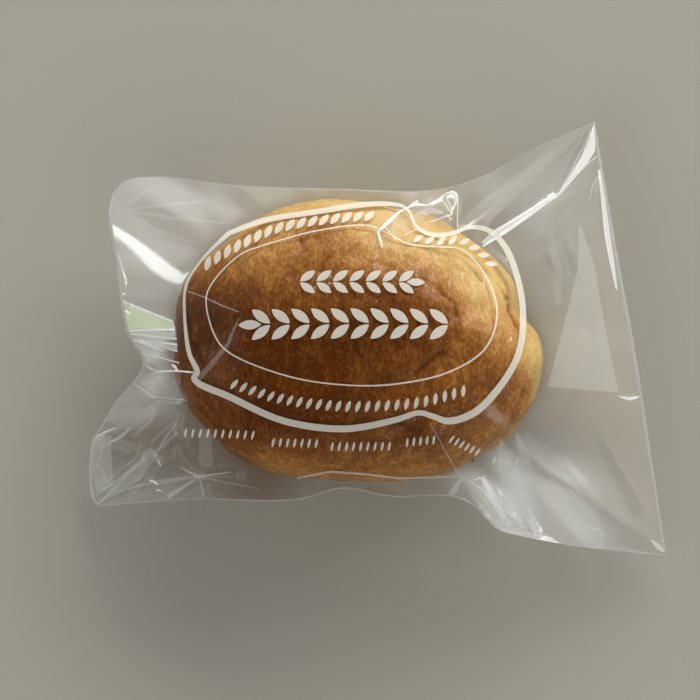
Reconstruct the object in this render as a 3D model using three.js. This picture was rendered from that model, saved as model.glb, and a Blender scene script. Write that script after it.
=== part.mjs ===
// A beef-filled bread bun sealed in a clear film bag, lying face up on a flat surface.
// The bag is shut, so bag and bun are one closed solid: the film lies on the bun's crown, leaves it
// along straight lines that just touch its side, and runs out to the bag's edge, where the front and
// the back sheet meet. Both ends are heat-sealed strips, and both long sides are folds.
// Units are millimetres. +X runs along the bag, +Y across it, +Z up, with the origin under the middle.
import * as THREE from "three";

// Bun: a flat-based oval loaf, turned a little in the bag.
const BUN_LENGTH = 112.2;
const BUN_WIDTH = 85.6;
const BUN_HEIGHT = 51;
const BUN_X = -6.9;
const BUN_Y = -2.5;
const BUN_TURN = THREE.MathUtils.degToRad(-5);
const BUN_LOBES = [ // what makes the oval uneven: waves round it, as shares of its radius
  { count: 3, share: 0.022, phase: 1.5 },
  { count: 4, share: 0.007, phase: -3.5 },
];
const BUN_SWELLS = [ // a flatter left end and a fuller right one; at: degrees round from +X
  { at: 176.5, share: -0.034, narrow: 100 },
  { at: -7, share: 0.014, narrow: 100 },
];
const GIRTH_HEIGHT = 21; // height of the widest line of the bun
const CROWN_SQUARENESS = 2.25; // 2 is a round dome, more is plumper
const SIDE_SQUARENESS = 2.7; // the same, below the widest line
const BASE_SHARE = 0.7; // radius of the flat base, as a share of the widest line's

// Film.
const FILM_GAP = 0.5; // how far the outer face of the film stands off the bun
const EDGE_THICKNESS = 0.7; // front and back sheet pressed together at the bag's edge
const SEAL_WIDTH = 3; // heat-sealed strip at each end
const FOLD_WIDTH = 0.8; // pressed width of the folded long sides

// Bag edge: one spline for each side, each starting at a corner, as [x, y, height].
const TOP_FOLD = [
  [-79.6, 43.2, 18], [-75.6, 47, 19], [-66, 48, 20.5], [-42, 45, 23], [-12, 43.7, 25],
  [17, 43.4, 25], [31, 47.6, 23], [47, 56.4, 20], [65.4, 65, 17],
];
const RIGHT_SEAL = [
  [65.4, 65, 17], [70.6, 34, 16], [77.5, -5, 14], [83.4, -43, 10], [86.8, -65, 7],
];
const BOTTOM_FOLD = [
  [86.8, -65, 7], [60, -62.4, 9], [42, -59.2, 11.2], [36, -57.4, 12.5], [32.6, -54.6, 14],
  [29, -50.8, 15.8], [24, -48.2, 17.5], [17, -47.7, 19], [4, -48, 20], [-10, -45.6, 21],
  [-24, -48.8, 18], [-56, -48.4, 10], [-84, -50, 4],
];
const LEFT_SEAL = [
  [-84, -50, 4], [-86, -47.8, 4.3], [-86.8, -42.6, 5.2], [-86.6, -34.6, 7.2], [-85.7, -30.2, 8.6],
  [-83.2, -26.4, 9.8], [-79.4, -20, 11.8], [-70.5, -8, 15], [-75.2, 1.5, 17],
  [-78.6, 24, 18], [-80.6, 37, 18.5], [-79.6, 43.2, 18],
];

// Pleats: soft ridges of film that run from the bun to the bag's edge.
// at: degrees round from +X; height: how far it stands up; spread: half width in degrees.
const PLEATS = [
  { at: 39, height: 3.2, spread: 3.5 },
  { at: 66, height: 1.6, spread: 3 },
  { at: 148, height: 1.8, spread: 4 },
  { at: 163, height: 2.4, spread: 4 },
  { at: 188, height: 1.6, spread: 3.5 },
  { at: 207, height: 2.2, spread: 4 },
  { at: 236, height: 1.6, spread: 4 },
  { at: 303, height: 2.6, spread: 3.5 },
  { at: 330, height: 1.8, spread: 4 },
];

// Mesh fineness.
const EDGE_STEPS = { right: 38, top: 50, left: 48, bottom: 56 };
const PROFILE_STEPS = 120; // samples along the bun's profile when the touching point is sought
const CROWN_ROWS = 7; // rows of facets where the front sheet lies on the bun
const FREE_ROWS = 5; // where it hangs free
const UNDER_ROWS = 3; // where the back sheet hangs free, and again where it lies on the bun

// Distance from the bun's axis to its widest line, in a direction.
function girthRadius(direction) {
  const turned = direction - BUN_TURN;
  const oval = 1 / Math.hypot(
    Math.cos(turned) / (BUN_LENGTH / 2),
    Math.sin(turned) / (BUN_WIDTH / 2),
  );
  const wave = ({ count, share, phase }) => share * Math.cos(count * direction + phase);
  const swell = ({ at, share, narrow }) =>
    share * Math.exp(narrow * (Math.cos(direction - THREE.MathUtils.degToRad(at)) - 1));
  const waves = BUN_LOBES.reduce((sum, lobe) => sum + wave(lobe), 0);
  return oval * (1 + waves + BUN_SWELLS.reduce((sum, part) => sum + swell(part), 0));
}

// The bun's upper outline in a vertical plane: [radius, height] from the crown out to the widest line.
function crownProfile(radius) {
  const points = [];
  for (let i = 0; i <= PROFILE_STEPS; i++) {
    const a = (i / PROFILE_STEPS) * (Math.PI / 2);
    const reach = Math.sin(a) ** (2 / CROWN_SQUARENESS);
    const rise = Math.cos(a) ** (2 / CROWN_SQUARENESS);
    points.push([
      (radius + FILM_GAP) * reach,
      GIRTH_HEIGHT + (BUN_HEIGHT + FILM_GAP - GIRTH_HEIGHT) * rise,
    ]);
  }
  return points;
}

// The lower outline: [radius, height] from the rim of the flat base up to the widest line.
function sideProfile(radius) {
  const base = radius * BASE_SHARE;
  const points = [];
  for (let i = 0; i <= PROFILE_STEPS; i++) {
    const a = (i / PROFILE_STEPS) * (Math.PI / 2);
    const reach = Math.sin(a) ** (2 / SIDE_SQUARENESS);
    const drop = Math.cos(a) ** (2 / SIDE_SQUARENESS);
    points.push([base + (radius + FILM_GAP - base) * reach, GIRTH_HEIGHT * (1 - drop)]);
  }
  return points;
}

// Index of the profile point where a straight line from the bag's edge just touches it.
// side is +1 for the front sheet, which passes above the bun, and -1 for the back sheet.
function touching(profile, edgeRadius, edgeHeight, side) {
  let best = 0;
  let steepest = -Infinity;
  profile.forEach(([r, z], i) => {
    const run = edgeRadius - r;
    const slope = (side * (z - edgeHeight)) / Math.max(run, 1e-3);
    if (run > 0 && slope > steepest) {
      steepest = slope;
      best = i;
    }
  });
  return best;
}

// How far the pleats lift the film in a direction.
function pleatRelief(direction) {
  const degrees = THREE.MathUtils.radToDeg(direction);
  return PLEATS.reduce((sum, { at, height, spread }) => {
    const away = THREE.MathUtils.euclideanModulo(degrees - at + 180, 360) - 180;
    return sum + height * Math.max(0, 1 - Math.abs(away) / spread);
  }, 0);
}

// Points round the bag's edge, with the pressed width there.
function edgeRing() {
  const sides = [
    { points: RIGHT_SEAL, steps: EDGE_STEPS.right, pressed: SEAL_WIDTH },
    { points: TOP_FOLD, steps: EDGE_STEPS.top, pressed: FOLD_WIDTH },
    { points: LEFT_SEAL, steps: EDGE_STEPS.left, pressed: SEAL_WIDTH },
    { points: BOTTOM_FOLD, steps: EDGE_STEPS.bottom, pressed: FOLD_WIDTH },
  ];
  const ring = [];
  for (const { points, steps, pressed } of sides) {
    const curve = new THREE.CatmullRomCurve3(
      points.map((p) => new THREE.Vector3(...p)), false, "centripetal",
    );
    // The sides are listed clockwise, and the ring runs counterclockwise, so each is walked backwards.
    for (let i = 0; i < steps; i++) {
      const ease = Math.sin((i / steps) * Math.PI);
      ring.push({
        point: curve.getPointAt(1 - i / steps),
        pressed: FOLD_WIDTH + (pressed - FOLD_WIDTH) * Math.min(1, 6 * ease),
      });
    }
  }
  return ring;
}

// Heights and radii of one vertical slice, from the crown over the front sheet to the bag's edge,
// and from the edge along the back sheet to the middle of the base.
function slice({ point, pressed }) {
  const dx = point.x - BUN_X;
  const dy = point.y - BUN_Y;
  const direction = Math.atan2(dy, dx);
  const edge = Math.hypot(dx, dy);
  const inner = edge - pressed;
  const girth = Math.min(girthRadius(direction), inner - FILM_GAP - 0.5);
  const relief = pleatRelief(direction);
  const half = EDGE_THICKNESS / 2;

  const crown = crownProfile(girth);
  const leave = touching(crown, inner, point.z + half, 1);
  const front = [];
  for (let i = 0; i <= CROWN_ROWS; i++) {
    front.push(crown[Math.round((leave * i) / CROWN_ROWS)]);
  }
  const [leaveR, leaveZ] = crown[leave];
  for (let i = 1; i <= FREE_ROWS; i++) {
    const s = i / FREE_ROWS;
    const bulge = relief * Math.sin(Math.PI * s) * Math.min(1, (inner - leaveR) / 20);
    front.push([leaveR + (inner - leaveR) * s, leaveZ + (point.z + half - leaveZ) * s + bulge]);
  }
  front.push([edge, point.z + half]);

  const side = sideProfile(girth);
  const meet = touching(side, inner, point.z - half, -1);
  const back = [[edge, point.z - half]];
  const [meetR, meetZ] = side[meet];
  for (let i = 0; i < UNDER_ROWS; i++) {
    const s = i / UNDER_ROWS;
    back.push([inner + (meetR - inner) * s, point.z - half + (meetZ - point.z + half) * s]);
  }
  for (let i = 0; i < UNDER_ROWS; i++) {
    back.push(side[Math.round(meet * (1 - i / UNDER_ROWS))]);
  }
  back.push(side[0]);
  return { direction, points: [...front.slice(1), ...back] };
}

// The closed skin: slices side by side, closed by a fan at the crown and one at the base.
function bagGeometry() {
  const slices = edgeRing().map(slice);
  const rows = slices[0].points.length;
  const positions = [BUN_X, BUN_Y, BUN_HEIGHT + FILM_GAP, BUN_X, BUN_Y, 0];
  for (const { direction, points } of slices) {
    for (const [r, z] of points) {
      positions.push(BUN_X + r * Math.cos(direction), BUN_Y + r * Math.sin(direction), z);
    }
  }
  const [crownCentre, baseCentre] = [0, 1];
  const vertex = (s, row) => 2 + (s % slices.length) * rows + row;
  const faces = [];
  for (let s = 0; s < slices.length; s++) {
    faces.push(crownCentre, vertex(s, 0), vertex(s + 1, 0));
    faces.push(baseCentre, vertex(s + 1, rows - 1), vertex(s, rows - 1));
    for (let row = 0; row < rows - 1; row++) {
      faces.push(vertex(s, row), vertex(s, row + 1), vertex(s + 1, row + 1));
      faces.push(vertex(s, row), vertex(s + 1, row + 1), vertex(s + 1, row));
    }
  }
  const geometry = new THREE.BufferGeometry();
  geometry.setAttribute("position", new THREE.Float32BufferAttribute(positions, 3));
  geometry.setIndex(faces);
  geometry.computeVertexNormals();
  return geometry;
}

const clearFilm = new THREE.MeshStandardMaterial({
  color: 0xb9b8ad, roughness: 0.12, metalness: 0, transparent: true, opacity: 0.35,
});
const filledBag = new THREE.Mesh(bagGeometry(), clearFilm);
filledBag.name = "filled_bag";

const baggedBun = new THREE.Group();
baggedBun.add(filledBag);
export default baggedBun;
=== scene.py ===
# A filled bread bun sealed in a clear printed film bag, lying face up.
import math

import bpy
import numpy as np
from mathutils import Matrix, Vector


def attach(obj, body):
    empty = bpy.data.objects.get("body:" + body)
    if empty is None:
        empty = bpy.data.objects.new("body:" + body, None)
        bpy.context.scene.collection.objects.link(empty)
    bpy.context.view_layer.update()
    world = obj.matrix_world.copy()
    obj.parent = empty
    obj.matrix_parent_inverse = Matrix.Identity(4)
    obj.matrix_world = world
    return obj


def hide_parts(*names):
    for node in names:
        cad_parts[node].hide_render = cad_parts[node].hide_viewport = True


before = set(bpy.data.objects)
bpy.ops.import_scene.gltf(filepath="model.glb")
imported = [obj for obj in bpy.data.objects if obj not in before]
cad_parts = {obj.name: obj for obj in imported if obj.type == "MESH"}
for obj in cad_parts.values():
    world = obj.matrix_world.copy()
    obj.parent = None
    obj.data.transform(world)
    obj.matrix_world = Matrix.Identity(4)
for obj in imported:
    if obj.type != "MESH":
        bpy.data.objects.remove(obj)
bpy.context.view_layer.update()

# The bun.
# A yeast bun with a beef filling, baked on a flat tray and glazed with egg before the oven. Its crown is
# brown, glossy and finely puckered, its side stays pale where it rose last, and its underside is flat.
MM = 0.001
BUN_LENGTH, BUN_WIDTH, BUN_HEIGHT = 112.2, 85.6, 51.0
BUN_MIDDLE = np.array([-6.9, -2.5])
BUN_TURN = math.radians(-5.0)
GIRTH_HEIGHT = 21.0
CROWN_SQUARENESS = 2.25
SIDE_SQUARENESS = 2.7
BASE_SHARE = 0.7
BASE_EDGE_HEIGHT = 4
BUN_LIFT = 0.25
BUN_ROWS = 220
FLECK_LEAN = math.radians(20)

# Where the outline leaves an even oval: direction in degrees, how narrow, and how far out as a share.
LEFT_END, RIGHT_END, SHOULDER = (176.5, 100, -0.034), (-7, 100, 0.014), (10.5, 190, -0.052)

# Puckers in the crust: start, end, depth, reach to the left and to the right, and share of it at the start.
CRUST_CREASES = [
    (16.5, 12.5, 22.4, 7.6, -0.9, 0.7, 1, 0.6),
    (22.9, 8.5, 23.4, 2.9, -0.8, 0.7, 0.8, 0.9),
    (28.2, 17.8, 31.1, 14.3, -0.6, 0.8, 0.8, 0.8),
    (35.4, 14.5, 39.1, 8.7, -0.7, 0.7, 1.4, 0.8),
    (39.1, 8.7, 41.6, 0.4, -0.7, 0.7, 1.4, 1),
    (10.4, -14.3, 19.6, -6.4, -0.7, 1.6, 1.2, 0.7),
    (-7, -3.7, -5.1, -9.5, -0.5, 1, 1.4, 0.8),
    (-22.9, 27.4, -21.3, 22, -0.6, 1, 1.2, 0.8),
    (-35.3, 11.9, -34.3, 5.4, -0.5, 1, 1, 0.8),
    (1.7, -26.3, 13.4, -31, -0.6, 2, 2, 0.7),
]

# Patches where the crust is coloured paler or darker than round about: middle, reach, and how much browner.
# They are partly the crust's own tone and partly painted light and shade, mostly paler towards the lit top
# and right and darker towards the shaded left and bottom.
TONE_AND_SHADE_SPOTS = [(-33, 18, 11, -0.2), (50, -7, 7.5, -0.42), (0, 21, 9, -0.13), (37, -16, 10, 0.26),
              (-47, 4, 9, 0.16), (30, 12, 9, -0.32), (-17, 28, 8, 0.16), (-41, -31, 9, 0.14),
              (42, 3, 6, 0.08)]

# From pale to dark crust, by the tone value, which holds painted light and shade as well as the crust's
# browning.
BAKED_COLOURS = [(0, (0.66, 0.45, 0.17)), (0.25, (0.56, 0.325, 0.105)), (0.5, (0.38, 0.165, 0.038)),
                 (0.75, (0.20, 0.068, 0.011)), (1, (0.10, 0.024, 0.001))]


def swell(direction, at, narrow, amount):
    """An amount that falls off from an angle in degrees: amount * exp(narrow * (cos(direction - at) - 1))."""
    return amount * np.exp(narrow * (np.cos(direction - math.radians(at)) - 1))


def girth_radius(direction):
    """Distance from the bun's axis to its widest line: an ellipse turned by BUN_TURN, times one plus a
    three-lobed and a four-lobed wave round it, a flatter left end and a fuller right one."""
    turned = direction - BUN_TURN
    oval = 1 / np.hypot(np.cos(turned) / (BUN_LENGTH / 2), np.sin(turned) / (BUN_WIDTH / 2))
    waves = 0.022 * np.cos(3 * direction + 1.5) + 0.007 * np.cos(4 * direction - 3.5)
    return oval * (1 + waves + swell(direction, *LEFT_END) + swell(direction, *RIGHT_END))


def squared_disc(rows):
    """A square grid rounded to a disc: x = a * sqrt(1 - b*b/2), y = b * sqrt(1 - a*a/2), with a and b from
    -1 to 1. Gives each point's direction and its distance from the middle, 0 to 1."""
    a, b = np.meshgrid(np.linspace(-1, 1, rows), np.linspace(-1, 1, rows), indexing="ij")
    x = a * np.sqrt(1 - b * b / 2)
    y = b * np.sqrt(1 - a * a / 2)
    return np.arctan2(y, x), np.clip(np.hypot(x, y), 0, 1)


def rolling(points, wavelength, seed, waves=20):
    """Uneven relief of about one unit: a sum of sine waves in random directions, with wavelengths spread
    by a third about the given one."""
    draw = np.random.default_rng(seed)
    aims = draw.normal(size=(waves, 3))
    aims /= np.linalg.norm(aims, axis=1)[:, None]
    counts = 2 * math.pi / (wavelength * draw.uniform(0.7, 1.4, waves))
    phases = draw.uniform(0, 2 * math.pi, waves)
    total = np.zeros(points.shape[:-1])
    for aim, count, phase in zip(aims, counts, phases):
        total += np.sin(points @ (aim * count) + phase)
    return total / math.sqrt(waves / 2)


def fold_relief(x, y, x0, y0, x1, y1, height, left, right, opening=1):
    """A straight ridge with flat flanks and a sharp crest: height * (1 - distance / reach) on each side,
    where height and both reaches grow from their opening share at the start to full size further on, and
    the last eighth of its length at each end fades out."""
    length = math.hypot(x1 - x0, y1 - y0)
    ux, uy = (x1 - x0) / length, (y1 - y0) / length
    t = ((x - x0) * ux + (y - y0) * uy) / length
    d = (y - y0) * ux - (x - x0) * uy
    size = opening + (1 - opening) * np.clip(t, 0, 1)
    flank = 1 - np.where(d > 0, d / left, -d / right) / size
    ends = np.clip(np.minimum(t, 1 - t) * 8, 0, 1)
    return height * size * np.clip(flank, 0, 1) * ends


def gathered(points, places):
    """Sum of soft round patches: each is amount * exp(-(distance / reach)^2) from its middle."""
    total = np.zeros(points.shape[:-1])
    for x, y, reach, amount in places:
        total += amount * np.exp(-((points[..., 0] - x) ** 2 + (points[..., 1] - y) ** 2) / reach ** 2)
    return total


def grid_normals(points):
    """Unit normals of a grid of points: the cross product of its two sets of central differences."""
    along, across = np.gradient(points, axis=0), np.gradient(points, axis=1)
    normal = np.cross(along, across)
    return normal / np.maximum(np.linalg.norm(normal, axis=-1, keepdims=True), 1e-12)


def grid_faces(rows, columns, start, flip):
    """Quads of a grid of rows by columns points, numbered from start, and turned over if flip says so."""
    corner = start + np.arange(rows - 1)[:, None] * columns + np.arange(columns - 1)[None, :]
    quads = np.stack([corner, corner + columns, corner + columns + 1, corner + 1], axis=-1).reshape(-1, 4)
    return quads[:, ::-1] if flip else quads


def add_piece(name, grids, material, weld=0.0, marks=None):
    """One mesh of several grids of points in millimetres, each with whether its faces are turned over. weld
    joins points closer than that. marks are named values for every point, in the same order."""
    points, faces, start = [], [], 0
    for grid, flip in grids:
        rows, columns = grid.shape[:2]
        points.append(grid.reshape(-1, 3) * MM)
        faces.append(grid_faces(rows, columns, start, flip))
        start += rows * columns
    points, faces = np.concatenate(points), np.concatenate(faces)
    marks = {key: np.ravel(values) for key, values in (marks or {}).items()}
    if weld:
        cell = np.round(points / (weld * MM)).astype(np.int64)
        _, first, which = np.unique(cell, axis=0, return_index=True, return_inverse=True)
        points, faces = points[first], which.reshape(-1)[faces]
        marks = {key: values[first] for key, values in marks.items()}
    mesh = bpy.data.meshes.new(name)
    mesh.from_pydata(points, [], faces.tolist())
    for key, values in marks.items():
        mesh.attributes.new(key, "FLOAT", "POINT").data.foreach_set("value", values.astype(np.float32))
    mesh.update()
    mesh.validate()
    mesh.shade_smooth()
    mesh.materials.append(material)
    piece = bpy.data.objects.new(name, mesh)
    bpy.context.collection.objects.link(piece)
    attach(piece, "root")
    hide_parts("filled_bag")


def squared_quarter(a, squareness):
    """A quarter of a squared circle, from a = 0 on its axis: sin(a)^(2/n) out and cos(a)^(2/n) up."""
    return np.sin(a) ** (2 / squareness), np.cos(a).clip(0, 1) ** (2 / squareness)


def round_axis(direction, r, z):
    """Points in a direction from the bun's axis, at a distance and a height."""
    toward = np.stack([np.cos(direction), np.sin(direction)], axis=-1)
    return np.dstack([BUN_MIDDLE + toward * r[..., None], z])


def bun_surface():
    """Crown and underside as two rounded squares that share their edge. The crown is a squared quarter over
    the widest line, from the axis out. Below it, the inner half is the flat base, and the outer half is a
    squared quarter turned over, from the base's edge out to the widest line."""
    direction, share = squared_disc(BUN_ROWS)
    girth = girth_radius(direction) * (1 + swell(direction, *SHOULDER))
    out, up = squared_quarter(share * math.pi / 2, CROWN_SQUARENESS)
    crown = round_axis(direction, girth * out, GIRTH_HEIGHT + (BUN_HEIGHT - GIRTH_HEIGHT) * up)
    out, up = squared_quarter(np.clip(share * 2 - 1, 0, 1) * math.pi / 2, SIDE_SQUARENESS)
    base = girth * BASE_SHARE
    r = np.where(share < 0.5, base * share * 2, base + (girth - base) * out)
    return crown, round_axis(direction, r, BUN_LIFT + (GIRTH_HEIGHT - BUN_LIFT) * (1 - up))


def crusted(skin, outward):
    """Sinks the crust below the ideal skin: broad hollows, finer ones, and the puckers. Where it bulges it
    stays just inside the film, and it fades out from 7 mm up to 1 mm up. Gives the points and how deep each
    lies."""
    x, y, z = skin[..., 0], skin[..., 1], skin[..., 2]
    broad = 0.55 * rolling(skin, 34, 1) + 0.28 * rolling(skin, 13, 2)
    fine = 0.07 * rolling(skin, 4.5, 3) + 0.035 * rolling(skin, 2.2, 4)
    pucker = sum(fold_relief(x, y, *crease) for crease in CRUST_CREASES) * (z > GIRTH_HEIGHT)
    relief = np.minimum(broad - 0.5, 0.1) + fine + pucker
    still = np.clip((z - 1) / 6, 0, 1)
    return skin + outward * (relief * still)[..., None], pucker + 0.5 * fine


def crust_tone_and_shade(points, depths):
    """How dark the crust is coloured, 0 to 1: a dome over the bun's length and width, darkest a little left
    of and below the middle and paler towards the lit top and right, partly the crust's own browning and
    partly painted light and shade; plus the spots and a slow unevenness, darker in the puckers and fine
    hollows as painted shade, and less low on the side. The base is even."""
    along, aside = (points[:, 0] - BUN_MIDDLE[0]) / 55, (points[:, 1] - BUN_MIDDLE[1]) / 42
    brown = 0.97 - 0.28 * along - 0.33 * aside - 0.5 * along ** 2 - 0.12 * along * aside - 0.66 * aside ** 2
    # The spots are partly painted light and shade, and the depths term makes the puckers and fine hollows
    # darker: painted shade.
    brown += gathered(points, TONE_AND_SHADE_SPOTS) + 0.06 * rolling(points, 30, 9) - 0.35 * depths
    brown -= 0.1 * np.clip(1 - points[:, 2] / GIRTH_HEIGHT, 0, 1)
    return np.clip(np.where(points[:, 2] < BASE_EDGE_HEIGHT, 0.55, brown), 0.05, 1)


def fill(node, values):
    """Sets a node's sockets by name or number, each to a number, a colour or another node's output."""
    for socket, value in values.items():
        if isinstance(value, bpy.types.NodeSocket):
            node.id_data.links.new(value, node.inputs[socket])
        else:
            node.inputs[socket].default_value = value


def add_node(tree, kind, values, output=0, **settings):
    """Adds a shader node with its settings and its sockets' values, and gives one of its outputs."""
    node = tree.nodes.new("ShaderNode" + kind)
    for name, setting in settings.items():
        setattr(node, name, setting)
    fill(node, values)
    return node.outputs[output]


def remapped(tree, value, from_min, from_max, to_min, to_max, smooth="LINEAR"):
    """A value carried over from one span to another, and kept inside it."""
    span = {"Value": value, "From Min": from_min, "From Max": from_max, "To Min": to_min, "To Max": to_max}
    return add_node(tree, "MapRange", span, interpolation_type=smooth)


def combined(tree, operation, *values):
    """Values added, multiplied or raised, as the operation says."""
    return add_node(tree, "Math", dict(enumerate(values)), operation=operation)


def point_value(tree, name):
    """The value that a mesh holds at each of its points under a name."""
    return add_node(tree, "Attribute", {}, "Fac", attribute_name=name)


def crust_material():
    """Brown to pale by the tone value at each point, softly mottled, with sparse paler flecks painted in as
    highlights of the thin egg glaze, and a fine relief under them."""
    material = bpy.data.materials.new("baked_crust")
    material.use_nodes = True
    tree = material.node_tree
    place = add_node(tree, "TexCoord", {}, "Object")

    def noise(scale, detail, across):
        leaned = {"Vector": place, "Scale": (1, across, 1), "Rotation": (0, 0, FLECK_LEAN)}
        texture = {"Vector": add_node(tree, "Mapping", leaned), "Scale": scale, "Detail": detail}
        return add_node(tree, "TexNoise", texture, "Fac")

    def bump(height, strength, depth):
        return add_node(tree, "Bump", {"Height": height, "Strength": strength, "Distance": depth * MM})

    blotches, streaks, flecks = noise(110, 4, 1), noise(380, 3, 0.35), noise(1300, 2, 0.5)
    toned = point_value(tree, "tone_and_shade")
    # The blotches and streaks shift the tone at random; the flecks make it paler in small spots, as painted
    # glaze highlights.
    for shade, *span in ((blotches, 0.3, 0.7, -0.05, 0.05), (streaks, 0.38, 0.7, 0.04, -0.11),
                         (flecks, 0.42, 0.66, 0.05, -0.12)):
        toned = combined(tree, "ADD", toned, remapped(tree, shade, *span))
    colours = tree.nodes.new("ShaderNodeValToRGB")
    while len(colours.color_ramp.elements) < len(BAKED_COLOURS):
        colours.color_ramp.elements.new(0.5)
    for element, (position, colour) in zip(colours.color_ramp.elements, BAKED_COLOURS):
        element.position = position
        element.color = (*colour, 1)
    fill(colours, {"Fac": toned})
    fill(tree.nodes["Principled BSDF"], {
        "Base Color": colours.outputs["Color"],
        "Roughness": remapped(tree, blotches, 0, 1, 0.24, 0.42),
        "Normal": bump(combined(tree, "ADD", streaks, flecks), 0.6, 0.5),
        "Coat Normal": bump(noise(620, 2, 0.5), 1, 1.2),
        "Coat Weight": remapped(tree, noise(420, 3, 0.5), 0.56, 0.7, 0, 0.8),
        "Coat Roughness": 0.12,
        "Specular IOR Level": 0.12,
        "Subsurface Weight": 0.08,
        "Subsurface Radius": (0.004, 0.002, 0.001),
        "Subsurface Scale": 1,
    })
    return material


crown, under = bun_surface()
crown, crown_depth = crusted(crown, grid_normals(crown))
under, under_depth = crusted(under, -grid_normals(under))
under[0], under[-1], under[:, 0], under[:, -1] = crown[0], crown[-1], crown[:, 0], crown[:, -1]
depths = np.concatenate([crown_depth.ravel(), under_depth.ravel()])
everywhere = np.concatenate([crown.reshape(-1, 3), under.reshape(-1, 3)])
add_piece("bun", [(crown, False), (under, True)], crust_material(), weld=0.005,
          marks={"tone_and_shade": crust_tone_and_shade(everywhere, depths)})

# The front film.
# Clear stretched polypropylene, 0.04 mm thick, that leaves the bun along tight straight lines and is creased
# by handling. It is one sheet with the back: folded along both long sides and heat-sealed at both ends.
FILM_GAP = 0.5
EDGE_GAP = 0.08
EDGE_ROOM = 1.5
BACK_LIFT = 0.05
SEAL_WIDTH = 0.9
FOLD_WIDTH = 0.3
HEAD_ON_SHINE = 0.077
# White of the film's milky haze, which is a little of its own and mostly painted highlights and reflections.
MILK_WHITE = (0.92, 0.92, 0.9, 1)
# Browner light that the film lets through where the bun's shade falls on it: painted shade.
SHADE_BROWN = (0.6, 0.45, 0.35)
FLAT_RIGHT, FLAT_LEFT, FLAT_TOP, FLAT_BOTTOM = 100.0, -88.0, 64.0, -66.0
FILM_ROWS, FILM_COLUMNS = 380, 262
TOP_FOLD = [(-79.6, 43.2, 18), (-75.6, 47, 19), (-66, 48, 20.5), (-42, 45, 23), (-12, 43.7, 25),
            (17, 43.4, 25), (31, 47.6, 23), (47, 56.4, 20), (65.4, 65, 17)]
RIGHT_SEAL = [(65.4, 65, 17), (70.6, 34, 16), (77.5, -5, 14), (83.4, -43, 10), (86.8, -65, 7)]
BOTTOM_FOLD = [(86.8, -65, 7), (60, -62.4, 9), (42, -59.2, 11.2), (36, -57.4, 12.5), (32.6, -54.6, 14),
               (29, -50.8, 15.8), (24, -48.2, 17.5), (17, -47.7, 19), (4, -48, 20), (-10, -45.6, 21),
               (-24, -48.8, 18), (-56, -48.4, 10), (-84, -50, 4)]
LEFT_SEAL = [(-84, -50, 4), (-86, -47.8, 4.3), (-86.8, -42.6, 5.2), (-86.6, -34.6, 7.2), (-85.7, -30.2, 8.6),
             (-83.2, -26.4, 9.8), (-79.4, -20, 11.8), (-70.5, -8, 15), (-75.2, 1.5, 17), (-78.6, 24, 18),
             (-80.6, 37, 18.5), (-79.6, 43.2, 18)]

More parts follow.
